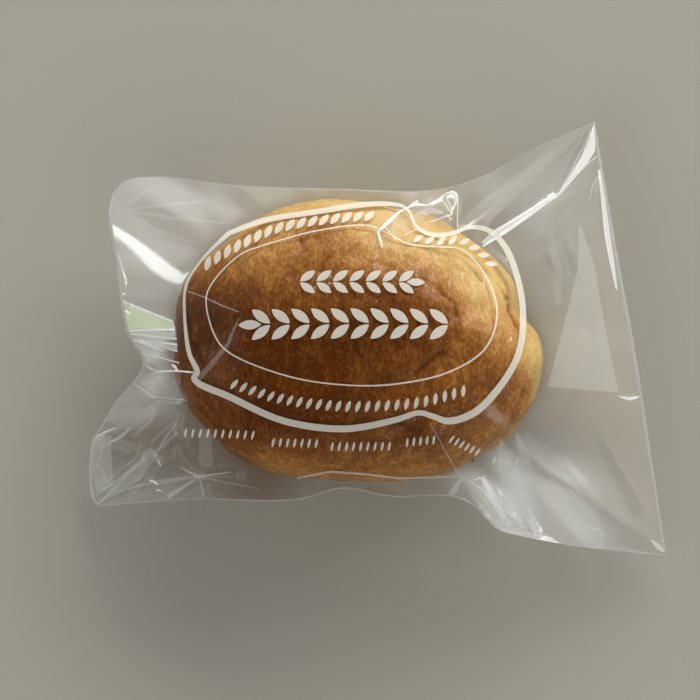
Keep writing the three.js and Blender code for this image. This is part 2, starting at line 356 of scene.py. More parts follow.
# Creases pressed into the film: where each starts and ends, how far it stands up (or sinks), how far its two
# flanks reach to the left and to the right of it, and the share of its size at its start, if it opens.
FOLDS = [
    # left of the bun
    (-79.5, 29.4, -75.4, 14.8, 0.3, 0.8, 1, 0.3),
    (-77.9, 11.9, -60.3, 3.6, -0.8, 3, 4),
    (-75, 2.2, -59.8, 0.6, 0.5, 1.4, 0.8),
    (-73.9, 0.9, -59.4, -3.9, 0.6, 0.9, 0.7),
    (-72.9, -0.7, -59, -6.6, 1, 0.95, 1.2),
    (-68.2, -11.1, -54.9, -12.6, 0.8, 1, 1.5, 0.8),
    # lower left pocket
    (-72.2, -14.2, -66.4, -20, 0.9, 2, 3, 0.6),
    (-66.4, -20, -55.6, -21.6, 0.9, 2.5, 3.5, 0.9),
    (-55.6, -21.6, -58.4, -28.9, 0.8, 3, 2, 0.9),
    (-86, -47.6, -66.5, -35.6, 1.6, 3, 4, 0.3),
    (-66.5, -35.6, -57.8, -28.7, 1.6, 3.5, 4),
    (-82.3, -29.6, -69.7, -33.2, -1, 3, 3, 0.5),
    (-53, -41.8, -39.7, -41.5, 0.9, 2.5, 3, 0.9),
    (-53, -41.8, -63.6, -47.7, 1.1, 2.5, 2.5, 0.9),
    (-53, -41.8, -52, -48.2, 0.8, 2, 2, 0.9),
    (-53, -41.8, -59.5, -33.7, 0.8, 2, 3, 0.9),
    (-75.2, -48.6, -67.8, -41.1, 0.8, 2, 2, 0.4),
    # upper right
    (32.8, 27.1, 53.9, 42, 0.6, 1.8, 0.7, 0.4),
    (53.9, 42, 65.2, 64.2, 0.8, 1.8, 1, 0.9),
    (64.4, 42.7, 67.5, 50, 0.4, 0.7, 0.7, 0.4),
    (68, 50.3, 73, 14.5, 0.5, 0.8, 0.8),
    # top, bunched over the bun's shoulder
    (0, 28.5, 6.5, 35.4, 0.9, 0.8, 1.6),
    (6.5, 35.4, 12, 39.1, 0.7, 0.8, 1.3),
    (13.6, 31.8, 21.9, 34.6, 0.8, 0.9, 1.5),
    (14.6, 38, 23.3, 42.2, 0.6, 0.8, 1.1),
    (1.1, 23.8, 0, 28.5, 0.4, 0.8, 0.8),
    (4.9, 26.3, 2, 29.8, 0.5, 0.8, 1),
    (23.3, 29.6, 23.9, 40.4, 0.5, 0.8, 0.8),
    (7.6, 27.7, 6.5, 35.4, 0.4, 0.8, 0.8),
    (21.9, 34.6, 19.7, 40.1, 0.5, 0.8, 0.8),
    # lower right
    (15.7, -28.4, 22.7, -40.5, 0.3, 0.8, 0.8, 0.6),
    (26.6, -43.3, 48.7, -60, 0.6, 1, 1.2, 0.8),
    (29.6, -43.3, 38.7, -56, 1.2, 2.2, 1.4, 0.8),
    (38.3, -56, 48.4, -59.7, 0.9, 2, 1.2, 0.6),
    (43.6, -53.7, 48.7, -59.7, 0.9, 1.5, 2, 0.7),
    (31.8, -53.6, 48.7, -59.4, 0.5, 0.6, 0.8, 0.8),
    (55.9, -55.1, 66.6, -58, 0.4, 1, 1, 0.6),
    (66.6, -58, 67.1, -63.5, 0.4, 1, 1),
    (54, -37, 66, -51, 0.4, 2.6, 5, 0.6),
    (66, -28, 82, -54, 0.4, 2.6, 5, 0.6),
    (71.6, -17.6, 78.2, -18.2, 0.5, 0.9, 0.9, 0.3),
    # right of the bun
    (50, 26, 58, 10, 0.25, 2, 3, 0.6),
    (56, 30, 62, 14, 0.25, 2, 3, 0.6),
    (46, -17, 76, -16, 0.25, 9, 5, 0.7),
    # over the bun's left end
    (-57.1, 11.9, -50, 8, 0.3, 1, 2),
    (-50, 8, -41.3, 5.4, 0.3, 1, 2),
    (-41.3, 0.9, -44, -6.3, 0.3, 1, 2),
    (-44, -6.3, -50.9, -12.3, 0.3, 1, 2),
]

# Patches of the film, each with its middle, reach and amount: where it was handled most; where it is hazy,
# which is painted highlight and reflection; where it hangs too limp to mirror; where it lets through a
# browner light as painted shade; and where it lies on the bun, with painted highlights.
HANDLED = [(-68, -38, 20, 0.48), (38, -50, 11, 0.7), (-66, -4, 8, 0.35), (18, 36, 8, 0.5)]
HIGHLIGHT_HAZE = [(-70, 27, 26, 0.25), (-63, -7, 12, 0.4), (-22, 46, 22, 0.1), (66, 0, 22, 0.03),
        (14, 38, 9, 0.25), (41, -48, 11, 0.85), (33, -31, 5, 0.1), (58, -56, 12, 0.5),
        (31, 45, 7, 0.1), (54, 38, 14, 0.12), (24, -40, 5, 0.2), (56, -44, 6, 0.2)]
DULLED = [(-68, -30, 13, 0.75), (-46, -38, 14, 0.6), (-20, -45, 16, 0.75), (14, -42, 14, 0.5),
          (-84, -37, 8, 0.7)]
# Where the front film lets through browner light, on the bun's left and lower side: painted shade.
FRONT_SHADE_PATCHES = [(-52, 0, 11, 0.22), (-36, -26, 14, 0.2), (28, -24, 10, 0.12)]
BUN_FILM_HIGHLIGHTS = [(4, 32, 4.5, 0.22), (15, 36, 6, 0.22), (34, 27, 4, 0.12), (34, -25, 4.5, 0.14)]


def spline(knots, shares):
    """A smooth curve through the knots (Catmull-Rom with centripetal spacing: lines between neighbouring
    knots, blended twice), read at shares of its length."""
    knots = np.array(knots, float)
    p = np.vstack([2 * knots[0] - knots[1], knots, 2 * knots[-1] - knots[-2]])
    t = np.concatenate([[0], np.cumsum(np.linalg.norm(np.diff(p, axis=0), axis=1) ** 0.5)])

    def between(u, first, last, start, end):
        return ((last - u) * start + (u - first) * end) / (last - first)

    fine = []
    for i in range(1, len(p) - 2):
        t0, t1, t2, t3 = t[i - 1:i + 3]
        p0, p1, p2, p3 = p[i - 1:i + 3]
        u = np.linspace(t1, t2, 40, endpoint=i == len(p) - 3)[:, None]
        straight = between(u, t1, t2, p1, p2)
        early = between(u, t0, t2, between(u, t0, t1, p0, p1), straight)
        late = between(u, t1, t3, straight, between(u, t2, t3, p2, p3))
        fine.append(between(u, t1, t2, early, late))
    fine = np.vstack(fine)
    run = np.concatenate([[0], np.cumsum(np.linalg.norm(np.diff(fine, axis=0), axis=1))])
    return np.stack([np.interp(np.asarray(shares) * run[-1], run, fine[:, k]) for k in range(3)], axis=-1)


def rim_at(u, v):
    """Where a point on the flat bag's outline lies once the bag is filled, by its side and its share along
    that side, and how wide the pressed edge is there: the seal's width at the ends, and next to nothing on
    the folded sides."""
    width, height = FLAT_RIGHT - FLAT_LEFT, FLAT_TOP - FLAT_BOTTOM
    rim, pressed = np.zeros(u.shape + (3,)), np.full(u.shape, FOLD_WIDTH)
    sides = [
        (np.isclose(u, FLAT_RIGHT, atol=1e-3), RIGHT_SEAL, (FLAT_TOP - v) / height, SEAL_WIDTH),
        (np.isclose(v, FLAT_TOP, atol=1e-3), TOP_FOLD, (u - FLAT_LEFT) / width, FOLD_WIDTH),
        (np.isclose(u, FLAT_LEFT, atol=1e-3), LEFT_SEAL, (v - FLAT_BOTTOM) / height, SEAL_WIDTH),
        (np.isclose(v, FLAT_BOTTOM, atol=1e-3), BOTTOM_FOLD, (FLAT_RIGHT - u) / width, FOLD_WIDTH),
    ]
    for on_side, knots, share, wide in sides:
        s = share[on_side]
        rim[on_side] = spline(knots, s)
        pressed[on_side] = FOLD_WIDTH + (wide - FOLD_WIDTH) * np.clip(np.minimum(s, 1 - s) * 30, 0, 1)
    return rim, pressed


def bag_reach(u, v):
    """Share of the way from the flat bag's middle to its outline: the largest of those to its four sides."""
    return np.maximum.reduce([u / FLAT_RIGHT, u / FLAT_LEFT, v / FLAT_TOP, v / FLAT_BOTTOM])


def from_axis(points):
    """Each point's direction from the bun's axis, and its distance."""
    away = points[..., :2] - BUN_MIDDLE
    return np.arctan2(away[..., 1], away[..., 0]), np.hypot(away[..., 0], away[..., 1])


def tangent_sheet(u, v, upper=True, samples=70):
    """A sheet drawn tight between the bun and the bag's edge. Through each point of the flat bag runs a
    line from the bag's middle to its outline. In space it follows the bun from the top (or from the middle
    of the base) to the point where a straight line to the edge just touches the bun, and then that line.
    The point's share of the way is kept."""
    reach = bag_reach(u, v)
    safe = np.maximum(reach, 1e-6)
    rim, pressed = rim_at(u / safe, v / safe)
    side = 1 if upper else -1
    edge_z = rim[..., 2] + side * EDGE_GAP
    direction, edge = from_axis(rim)
    edge = edge - pressed
    girth = np.minimum(girth_radius(direction), edge - EDGE_ROOM) + FILM_GAP
    quarter = np.linspace(0, math.pi / 2, samples)
    if upper:
        out, up = squared_quarter(quarter, CROWN_SQUARENESS)
        pr = girth[..., None] * out
        pz = GIRTH_HEIGHT + (BUN_HEIGHT + FILM_GAP - GIRTH_HEIGHT) * up + 0 * pr
    else:
        out, up = squared_quarter(quarter, SIDE_SQUARENESS)
        flat = np.linspace(0, 1, samples // 3, endpoint=False)
        base = (girth - FILM_GAP) * BASE_SHARE
        curve = base[..., None] + (girth - base)[..., None] * out
        pr = np.concatenate([base[..., None] * flat, curve], axis=-1)
        pz = np.concatenate([flat * 0, GIRTH_HEIGHT * (1 - up)]) + BACK_LIFT + 0 * pr
    run = np.maximum(edge[..., None] - pr, 1e-3)
    touch = np.argmax(side * (pz - edge_z[..., None]) / run, axis=-1)[..., None]
    k = np.arange(pr.shape[-1])
    tr, tz = np.take_along_axis(pr, touch, -1), np.take_along_axis(pz, touch, -1)
    free = ((k - touch) / np.maximum(pr.shape[-1] - 1 - touch, 1)).clip(0, 1)
    pr = np.where(k > touch, tr + (edge[..., None] - tr) * free, pr)
    pz = np.where(k > touch, tz + (edge_z[..., None] - tz) * free, pz)
    steps = np.hypot(np.diff(pr, axis=-1), np.diff(pz, axis=-1))
    lengths = np.concatenate([np.zeros(reach.shape + (1,)), np.cumsum(steps, axis=-1)], axis=-1)
    wanted = reach[..., None] * lengths[..., -1:]
    at = (lengths < wanted).sum(axis=-1, keepdims=True).clip(1, lengths.shape[-1] - 1)
    before, after = (np.take_along_axis(lengths, place, -1) for place in (at - 1, at))
    f = (wanted - before) / np.maximum(after - before, 1e-9)
    r, z = ((np.take_along_axis(line, at - 1, -1) * (1 - f) + np.take_along_axis(line, at, -1) * f)[..., 0]
            for line in (pr, pz))
    return round_axis(direction, r, z)


def crinkle_list(count, seed):
    """Small creases at random: most run outwards from the bun, as the film is pulled that way."""
    draw = np.random.default_rng(seed)
    out = []
    for _ in range(count):
        u, v = draw.uniform(-90, 90), draw.uniform(-68, 68)
        outward = math.atan2(v - BUN_MIDDLE[1], u - BUN_MIDDLE[0])
        aim = outward + draw.normal() * 0.6
        length = draw.uniform(5, 22)
        height = draw.uniform(0.12, 0.5) * draw.choice([-1, 1])
        left, right = draw.uniform(0.8, 4.0, 2)
        du, dv = math.cos(aim) * length / 2, math.sin(aim) * length / 2
        out.append((u - du, v - dv, u + du, v + dv, height, left, right, draw.uniform(0.4, 1)))
    return out


def crumple(points, seed, wavelength, steepness, count):
    """Crumpled film: a sum of triangle waves in random directions, so that the sheet breaks into flat
    facets between straight creases. Each wave is bent a little, comes and goes across the sheet, and slopes
    by steepness on both flanks where it is full."""
    draw = np.random.default_rng(seed)
    total = np.zeros(points.shape[:-1])
    for number in range(count):
        aim, phase = draw.uniform(0, math.pi), draw.uniform(0, 1)
        length = wavelength * draw.uniform(0.6, 1.5)
        bend = 0.1 * rolling(points, length * 2, seed + 100 + number, 8)
        turns = (points[..., 0] * math.cos(aim) + points[..., 1] * math.sin(aim)) / length + phase + bend
        wave = 4 * np.abs(turns - np.floor(turns + 0.5)) - 1
        full = np.clip(0.5 + 0.7 * rolling(points, length * 2.5, seed + 200 + number, 8), 0, 1)
        total += wave * full * length / 4
    return steepness * total


def creased(sheet, reach, relief, folds, share_on_bun):
    """Raises relief and folds along the sheet's normal. Both fade out at the bag's edge, and where the sheet
    lies on the bun only part of the relief is left. Gives the points, how free of the bun each is from 0 to
    1, and where the sheet has left the bun's outline."""
    direction, r = from_axis(sheet)
    out = r / girth_radius(direction)
    slack = np.clip((out - 0.95) / 0.07, 0, 1)
    free = share_on_bun + (1 - share_on_bun) * slack
    edge = np.clip((1 - reach) / 0.03, 0, 1)
    relief = (relief * free + folds) * edge
    relief = np.where(out < 0.9, np.maximum(relief, 0), relief)
    return sheet + grid_normals(sheet) * relief[..., None], slack, np.clip((out - 0.99) / 0.08, 0, 1)


def outward_streaks(points, seed):
    """0 to 1, in streaks that run away from the bun: the rolling waves of the angle round it and, four times
    longer, of the distance from it."""
    direction, r = from_axis(points)
    round_it = np.stack([50 * np.cos(direction), 50 * np.sin(direction), r / 4], axis=-1)
    return np.clip(0.5 + 0.5 * rolling(round_it, 7, seed), 0, 1)


def crease_sharpness(relief, spacing):
    """How sharply a relief is creased, 0 to 1: the size of its second difference against its spacing."""
    second = np.abs(np.gradient(np.gradient(relief, axis=0), axis=0))
    second += np.abs(np.gradient(np.gradient(relief, axis=1), axis=1))
    return np.clip(second / spacing, 0, 1)


def handled_film(sheet, crinkles, crumple_seed, untouched, folds, share_on_bun):
    """The sheet with its pressed folds and its random creases, which have the untouched share of their size,
    and more where it was handled. Gives the points, how free and how far beyond the bun each is, and both
    reliefs."""
    x, y = sheet[..., 0], sheet[..., 1]
    random_relief = sum(fold_relief(x, y, *crinkle) for crinkle in crinkles)
    random_relief = random_relief + crumple(sheet, crumple_seed, 15, 0.06, 7)
    random_relief *= untouched + gathered(sheet, HANDLED)
    pressed = sum(fold_relief(x, y, *fold) for fold in folds)
    points, slack, beyond = creased(sheet, flat_reach, random_relief, pressed, share_on_bun)
    return points, slack * (1 - np.minimum(gathered(sheet, DULLED), 0.85)), beyond, random_relief, pressed


def corner_ridge(side, width, start):
    """One on the line from the bag's middle to the right end of a long side, from a share of the way on, and
    falling off on both sides of it: exp(-((u / right - v / side) / width)^2)."""
    beside = (flat_u / FLAT_RIGHT - flat_v / side) / width
    return np.exp(-beside ** 2) * (flat_v / side > 0) * (flat_reach > start)


def bare_material(name):
    """A material with nothing but its output, and its node tree."""
    material = bpy.data.materials.new(name)
    material.use_nodes = True
    material.node_tree.nodes.remove(material.node_tree.nodes["Principled BSDF"])
    return material, material.node_tree


def blended(tree, share, first, second):
    """A colour between two, by a share from 0 to 1."""
    return add_node(tree, "Mix", {0: share, 6: (*first, 1), 7: (*second, 1)}, 2, data_type="RGBA")


def film_material():
    """Thin clear film: what lies behind shows straight through, and both faces mirror the room together by
    s + (1 - s) * (1 - cosine)^3.5 of the angle it is seen at, from either side, where s is HEAD_ON_SHINE.
    Where it hangs free it is smooth; where it clings to the oily crust it is dimpled and mirrors next to
    nothing. Its milky haze is a little of its own and mostly painted highlights and reflections, and where
    painted shade is set it lets through a browner light."""
    material, tree = bare_material("clear_film")
    slack = point_value(tree, "slack")
    shade_tint = blended(tree, point_value(tree, "painted_shade"), (1, 1, 1), SHADE_BROWN)
    clear = add_node(tree, "BsdfTransparent", {"Color": shade_tint})
    milk = add_node(tree, "BsdfDiffuse", {"Color": MILK_WHITE})
    hazed = add_node(tree, "MixShader", {"Fac": point_value(tree, "milk_and_highlight"), 1: clear, 2: milk})
    steep = combined(tree, "POWER", add_node(tree, "LayerWeight", {"Blend": 0.5}, "Facing"), 3.5)
    mirrored = combined(tree, "MULTIPLY_ADD", steep, 1 - HEAD_ON_SHINE, HEAD_ON_SHINE)
    shared = combined(tree, "MULTIPLY", remapped(tree, slack, 0, 1, 0.04, 1), mirrored)
    shine = add_node(tree, "BsdfGlossy", {"Roughness": remapped(tree, slack, 0, 1, 0.5, 0.07)})
    coated = add_node(tree, "MixShader", {"Fac": shared, 1: hazed, 2: shine})
    fill(tree.nodes["Material Output"], {"Surface": coated})
    return material


film = film_material()
flat_u, flat_v = np.meshgrid(np.linspace(FLAT_LEFT, FLAT_RIGHT, FILM_ROWS),
                             np.linspace(FLAT_BOTTOM, FLAT_TOP, FILM_COLUMNS), indexing="ij")
flat_reach = bag_reach(flat_u, flat_v)
tight = tangent_sheet(flat_u, flat_v)
crinkles = crinkle_list(110, 11)
front, slack, beyond, random_relief, pressed = handled_film(tight, crinkles, 31, 0.01, FOLDS, 0.35)
slack *= (1 - corner_ridge(FLAT_TOP, 0.035, 0.2)) * (1 - 0.8 * corner_ridge(FLAT_BOTTOM, 0.03, 0.4))
# Milk on the front film: a faint haze of its own beyond the bun, haze patches and white along sharp creases
# as painted highlights and reflections, and painted highlight patches on the bun.
milk_and_highlight = 0.001 + beyond * (0.02 + gathered(tight, HIGHLIGHT_HAZE) * (0.5 + outward_streaks(tight, 61)))
milk_and_highlight += (0.05 + 0.95 * beyond) * 0.25 * crease_sharpness(random_relief + pressed, 0.35)
milk_and_highlight += (1 - beyond) * gathered(tight, BUN_FILM_HIGHLIGHTS) * outward_streaks(tight, 62)
add_piece("film_front", [(front, False)], film,
          marks={"slack": slack, "milk_and_highlight": milk_and_highlight, "painted_shade": gathered(tight, FRONT_SHADE_PATCHES)})

# The back film.
# The other half of the same tube of film, pressed flat under the bun and drawn up to the edge all round.
BACK_FOLDS = [
    (30, -44.5, 39.5, -57.5, 1.1, 1.6, 2.2, 0.6),
    (35, -44, 44, -58.5, 1, 1.6, 2, 0.6),
    (41.5, -46, 48, -59, 1.2, 1.8, 2.4, 0.5),
]
# Where the back film lets through browner light, under the bun and to its lower left where its shadow falls:
# painted shade.
BACK_SHADE_PATCHES = [(-36, -43, 15, 0.95), (-62, -30, 16, 0.42), (-82, -28, 10, 0.36), (-8, -46, 10, 0.2)]
tight = tangent_sheet(flat_u, flat_v, upper=False)
back, slack, beyond, random_relief, _ = handled_film(tight, crinkle_list(60, 5), 47, 0.1, BACK_FOLDS, 0)
# Milk on the back film: a faint haze of its own beyond the bun, with haze patches and white along sharp
# creases as painted highlights and reflections.
milk_and_highlight = 0.6 * gathered(tight, HIGHLIGHT_HAZE) * (0.5 + outward_streaks(tight, 63))
milk_and_highlight = beyond * (0.01 + milk_and_highlight + 0.25 * crease_sharpness(random_relief, 0.35))
add_piece("film_back", [(back, True)], film,
          marks={"slack": slack, "milk_and_highlight": milk_and_highlight, "painted_shade": np.minimum(gathered(tight, BACK_SHADE_PATCHES), 1)})


# The bag's edge.
# Both long sides are folds, so front and back meet there in a thin rounded edge. Both ends are melted
# together by a hot bar into a stiff strip as wide as the bar.
def outline(count):
    """Points of the flat outline, anticlockwise from the lower right corner, count to each side."""
    corners_u = [FLAT_RIGHT, FLAT_RIGHT, FLAT_LEFT, FLAT_LEFT, FLAT_RIGHT]
    corners_v = [FLAT_BOTTOM, FLAT_TOP, FLAT_TOP, FLAT_BOTTOM, FLAT_BOTTOM]
    at = np.arange(4 * count + 1) / count
    return np.interp(at, range(5), corners_u), np.interp(at, range(5), corners_v)


def edge_strip(count=420, across=9):
    """A thin flattened tube round the outline, from the front film's edge out to the bag's edge and back to
    the back film's edge. Its section is cos(a)^0.5 of the pressed width out and sin(a) of the gap up."""
    rim, pressed = rim_at(*outline(count))
    direction, r = from_axis(rim)
    a = np.linspace(math.pi / 2, -math.pi / 2, across)
    out = (r - pressed)[:, None] + np.cos(a) ** 0.5 * pressed[:, None]
    return round_axis(direction[:, None] + 0 * out, out, rim[:, None, 2] + np.sin(a) * EDGE_GAP)


strip = edge_strip()
add_piece("bag_edge", [(strip, False)], film,
          marks={"slack": np.ones(strip.shape[:2]), "milk_and_highlight": np.full(strip.shape[:2], 0.3)})

# The print.
# White ink on the outside of the front film: a double oval frame, two ears of grain across the middle, rows
# of small grains between the two ovals, and a line of slanting grains under them. The ink is thin and lets
# some colour through.
INK_LIFT = 0.1
COARSE = 6
OUTER_OVAL = [(-44, 28.9, 1.5), (-35, 32.4, 1.8), (-28.9, 33.7, 1.9), (-17.1, 35.3, 1.9), (-5.3, 37.4, 2),
              (3, 38.1, 1.6), (7.4, 37.4, 1.1), (9.5, 35.1, 0.9), (10.9, 31.1, 0.9), (14.4, 28.5, 1.3),
              (18.2, 28, 1.4), (22.4, 28.7, 1.3), (26.2, 30.3, 1.2), (32.2, 30, 1.5), (37.4, 25.3, 1.9),
              (41.4, 14.9, 1.9), (42.7, 3.6, 1.9), (41.1, -7.2, 1.9), (35.9, -16.5, 2), (28, -24.6, 2.1),
              (20.4, -27.1, 1.9), (15.8, -25.8, 1.6), (11.9, -24.9, 1.5), (5.2, -26.9, 1.7),
              (-9.8, -29.5, 1.9), (-27.6, -27.1, 1.9), (-44.3, -19.5, 1.9), (-52.7, -15.6, 1.8),
              (-54.2, -13.8, 1.5), (-53, -12.5, 1.5), (-55.4, -7, 1.3), (-57, 4.4, 0.9), (-56.5, 14, 0.8),
              (-51.1, 22, 0.8)]
INNER_OVAL = [(-33.3, 24.9, 0.42), (-17.8, 28.9, 0.42), (-3, 30.5, 0.42), (3, 28, 0.38), (9, 24.9, 0.38),
              (17.9, 24.2, 0.38), (24.7, 23.5, 0.38), (31.5, 16.1, 0.42), (34.9, 5.1, 0.5),
              (31.3, -5.9, 0.5), (21, -12.9, 0.5), (7.5, -16.4, 0.5), (-6.6, -17.2, 0.42),
              (-25.2, -14.7, 0.42), (-43.5, -7.2, 0.42), (-47.7, -2.2, 0.42), (-50.5, 9.1, 0.42),
              (-48.6, 14, 0.42), (-40.4, 22.1, 0.42)]


def on_sheet(sheet, x, y, rounds=12):
    """Points just over the sheet at the given places. Starts at the nearest of a coarse choice of grid
    points, steps to where the sheet's own two directions say the place is, and rises along the normal."""
    normals = grid_normals(sheet)
    coarse = sheet[::COARSE, ::COARSE]
    places = np.stack([x.ravel(), y.ravel()], axis=-1)
    nearest = np.concatenate([
        ((part[:, None, :] - coarse.reshape(-1, 3)[None, :, :2]) ** 2).sum(axis=-1).argmin(axis=1)
        for part in np.array_split(places, max(1, len(places) // 2000))])
    i, j = (index * float(COARSE) for index in np.unravel_index(nearest, coarse.shape[:2]))
    last_i, last_j = sheet.shape[0] - 1.001, sheet.shape[1] - 1.001

    def read(table, i, j):
        i0 = np.clip(i.astype(int), 0, table.shape[0] - 2)
        j0 = np.clip(j.astype(int), 0, table.shape[1] - 2)
        fi, fj = (i - i0)[:, None], (j - j0)[:, None]
        near = table[i0, j0] * (1 - fi) + table[i0 + 1, j0] * fi
        far = table[i0, j0 + 1] * (1 - fi) + table[i0 + 1, j0 + 1] * fi
        return near * (1 - fj) + far * fj

    for _ in range(rounds):
        here = read(sheet, i, j)
        di = (read(sheet, np.minimum(i + 1, last_i), j) - read(sheet, np.maximum(i - 1, 0), j)) / 2
        dj = (read(sheet, i, np.minimum(j + 1, last_j)) - read(sheet, i, np.maximum(j - 1, 0))) / 2
        off = places - here[:, :2]
        area = di[:, 0] * dj[:, 1] - di[:, 1] * dj[:, 0]
        area = np.where(np.abs(area) < 0.02, 0.02, area)
        step_i = (off[:, 0] * dj[:, 1] - off[:, 1] * dj[:, 0]) / area
        step_j = (off[:, 1] * di[:, 0] - off[:, 0] * di[:, 1]) / area
        i = np.clip(i + 0.8 * np.clip(step_i, -4, 4), 0, last_i)
        j = np.clip(j + 0.8 * np.clip(step_j, -4, 4), 0, last_j)
    point, normal = read(sheet, i, j), read(normals, i, j)
    normal /= np.linalg.norm(normal, axis=-1, keepdims=True)
    return (point + normal * INK_LIFT).reshape(x.shape + (3,))


def ribbon_on_film(x, y, dx, dy, width, across):
    """A ribbon on the front film: points to both sides of a line, at right angles to its direction."""
    offset = np.linspace(-0.5, 0.5, across) * (width / np.hypot(dx, dy))[:, None]
    return on_sheet(front, x[:, None] + offset * dy[:, None], y[:, None] - offset * dx[:, None])


def ring(knots, count, across=5):
    """A closed ribbon along a smooth curve through the knots, each of which gives its place and width."""
    line = spline(knots + knots[:1], np.linspace(0, 1, count))
    line[-1] = line[0]
    along = np.roll(line[:-1], -1, axis=0) - np.roll(line[:-1], 1, axis=0)
    dx, dy, _ = np.vstack([along, along[:1]]).T
    x, y, width = line.T
    return ribbon_on_film(x, y, dx, dy, width, across)


def grains(middles, angles, length, width, pointed, rows=9, across=5):
    """Leaf shapes: half width = width / 2 * sin(pi t)^pointed, along a length at an angle."""
    t = np.linspace(0.004, 0.996, rows)[None, :, None]
    s = np.linspace(-0.5, 0.5, across)[None, None, :]
    middles, angles = np.asarray(middles, float), np.asarray(angles, float)[:, None, None]
    along = (t - 0.5) * length + 0 * s
    aside = s * width * np.sin(math.pi * t) ** pointed
    x = middles[:, 0, None, None] + along * np.cos(angles) - aside * np.sin(angles)
    y = middles[:, 1, None, None] + along * np.sin(angles) + aside * np.cos(angles)
    return [(leaf, True) for leaf in on_sheet(front, x, y)]


def ear(start, end, pairs, length, width, splay):
    """An ear of grain: leaves in pairs that splay to both sides of a stalk, with one more at its tip."""
    start, end = np.array(start), np.array(end)
    aim = math.atan2(*(end - start)[::-1])
    ahead, aside = np.array([math.cos(aim), math.sin(aim)]), np.array([-math.sin(aim), math.cos(aim)])
    middles, angles = [], []
    for k in range(pairs):
        foot = start + (end - start) * (k + 0.5) / (pairs + 0.6)
        for sign in (1, -1):
            middles.append(foot + (ahead * math.cos(splay) + sign * aside * math.sin(splay)) * length * 0.56)
            angles.append(aim + sign * splay)
    middles.append(end)
    angles.append(aim)
    return grains(middles, angles, length, width, 0.8)


def along_curve(knots, count):
    """Evenly spaced places on a smooth curve through the knots, and its direction at each."""
    shares = (np.arange(count) + 0.5) / count
    curve = [(x, y, 0) for x, y in knots]
    step = spline(curve, np.minimum(shares + 0.01, 1)) - spline(curve, np.maximum(shares - 0.01, 0))
    return spline(curve, shares)[:, :2], np.arctan2(step[:, 1], step[:, 0])


def thin_layer(tree, share, values):
    """A layer of its own colour that covers a share of what lies behind it."""
    layer, clear = add_node(tree, "BsdfPrincipled", values), add_node(tree, "BsdfTransparent", {})
    cover = add_node(tree, "MixShader", {"Fac": share, 1: clear, 2: layer})
    fill(tree.nodes["Material Output"], {"Surface": cover})


def ink_material():
    """White ink that covers about two thirds, with a soft shine."""
    material, tree = bare_material("white_ink")
    thin_layer(tree, 0.7, {"Base Color": (0.84, 0.80, 0.70, 1), "Roughness": 0.4})
    return material


ink = ink_material()
oval_frame = [(ring(OUTER_OVAL, 900), False), (ring(INNER_OVAL, 800, 3), False)]
add_piece("print_oval_frame", oval_frame, ink)
add_piece("print_ears", ear((-25.5, 13.2), (11, 13.2), 7, 5.4, 2.3, 0.62)
          + ear((23.5, 0.8), (-37.5, 0.8), 10, 6.8, 2.8, 0.66), ink)

# Rows of grains between the ovals: the curve, how many, their lean, length, width, and how pointed they are.
BORDER_ROWS = [([(-51.6, 19), (-43.6, 23.6), (-30, 29.9), (-13, 32.7), (-0.9, 33.8)], 16, 0.8, 4.6, 2, 0.8),
               ([(10, 26.8), (17.3, 26), (24.7, 26.2), (30, 23.1), (34.5, 18.4)], 8, 0.8, 3.8, 1.6, 0.8),
               ([(-43.4, -15.9), (-29.8, -20.5), (-14.1, -22.9), (-2, -23.1), (12.1, -21.9), (26.2, -18.1)],
                25, 1.2, 3.5, 1.3, 0.6)]

# The line under the frame: the curve of each run of grains, and how many.
LINE_RUNS = [([(-58, -29.6), (-46.6, -30.2), (-35.6, -31)], 10), ([(-31.8, -33.1), (-17, -33.6)], 7),
             ([(-14.5, -34.5), (4.3, -34.4)], 9), ([(7.5, -33.4), (17.2, -32.4)], 5),
             ([(20.7, -31.9), (30, -36)], 6), ([(33, -38), (42, -38.6)], 4)]


def grain_rows(rows):
    """Grains all along each row's curve, each leaning from the curve by the same angle."""
    leaves = []
    for knots, count, lean, *shape in rows:
        middles, angles = along_curve(knots, count)
        leaves += grains(middles, angles + lean, *shape)
    return leaves


add_piece("print_border_grains", grain_rows(BORDER_ROWS), ink)
line_rows = [(*run, 1.35, 2.7, 0.75, 0.5) for run in LINE_RUNS]
add_piece("print_line_grains", grain_rows(line_rows), ink)

# Painted highlights on the creases.
# Where the film is folded sharply it mirrors the windows in bright lines, and these are painted on as white
# hairlines and narrow bands that follow its surface. The broad faint patches are painted sheen, and one flat
# facet between two creases is painted a faint green as a painted reflection.
CREASE_LIFT = 0.06
HAIRLINE = 0.3
GREEN_REFLECTION_FACET = (0.72, (-77.6, 7, 9), (-69, 4.5, 5.2), (-60.5, 2.2, 2))
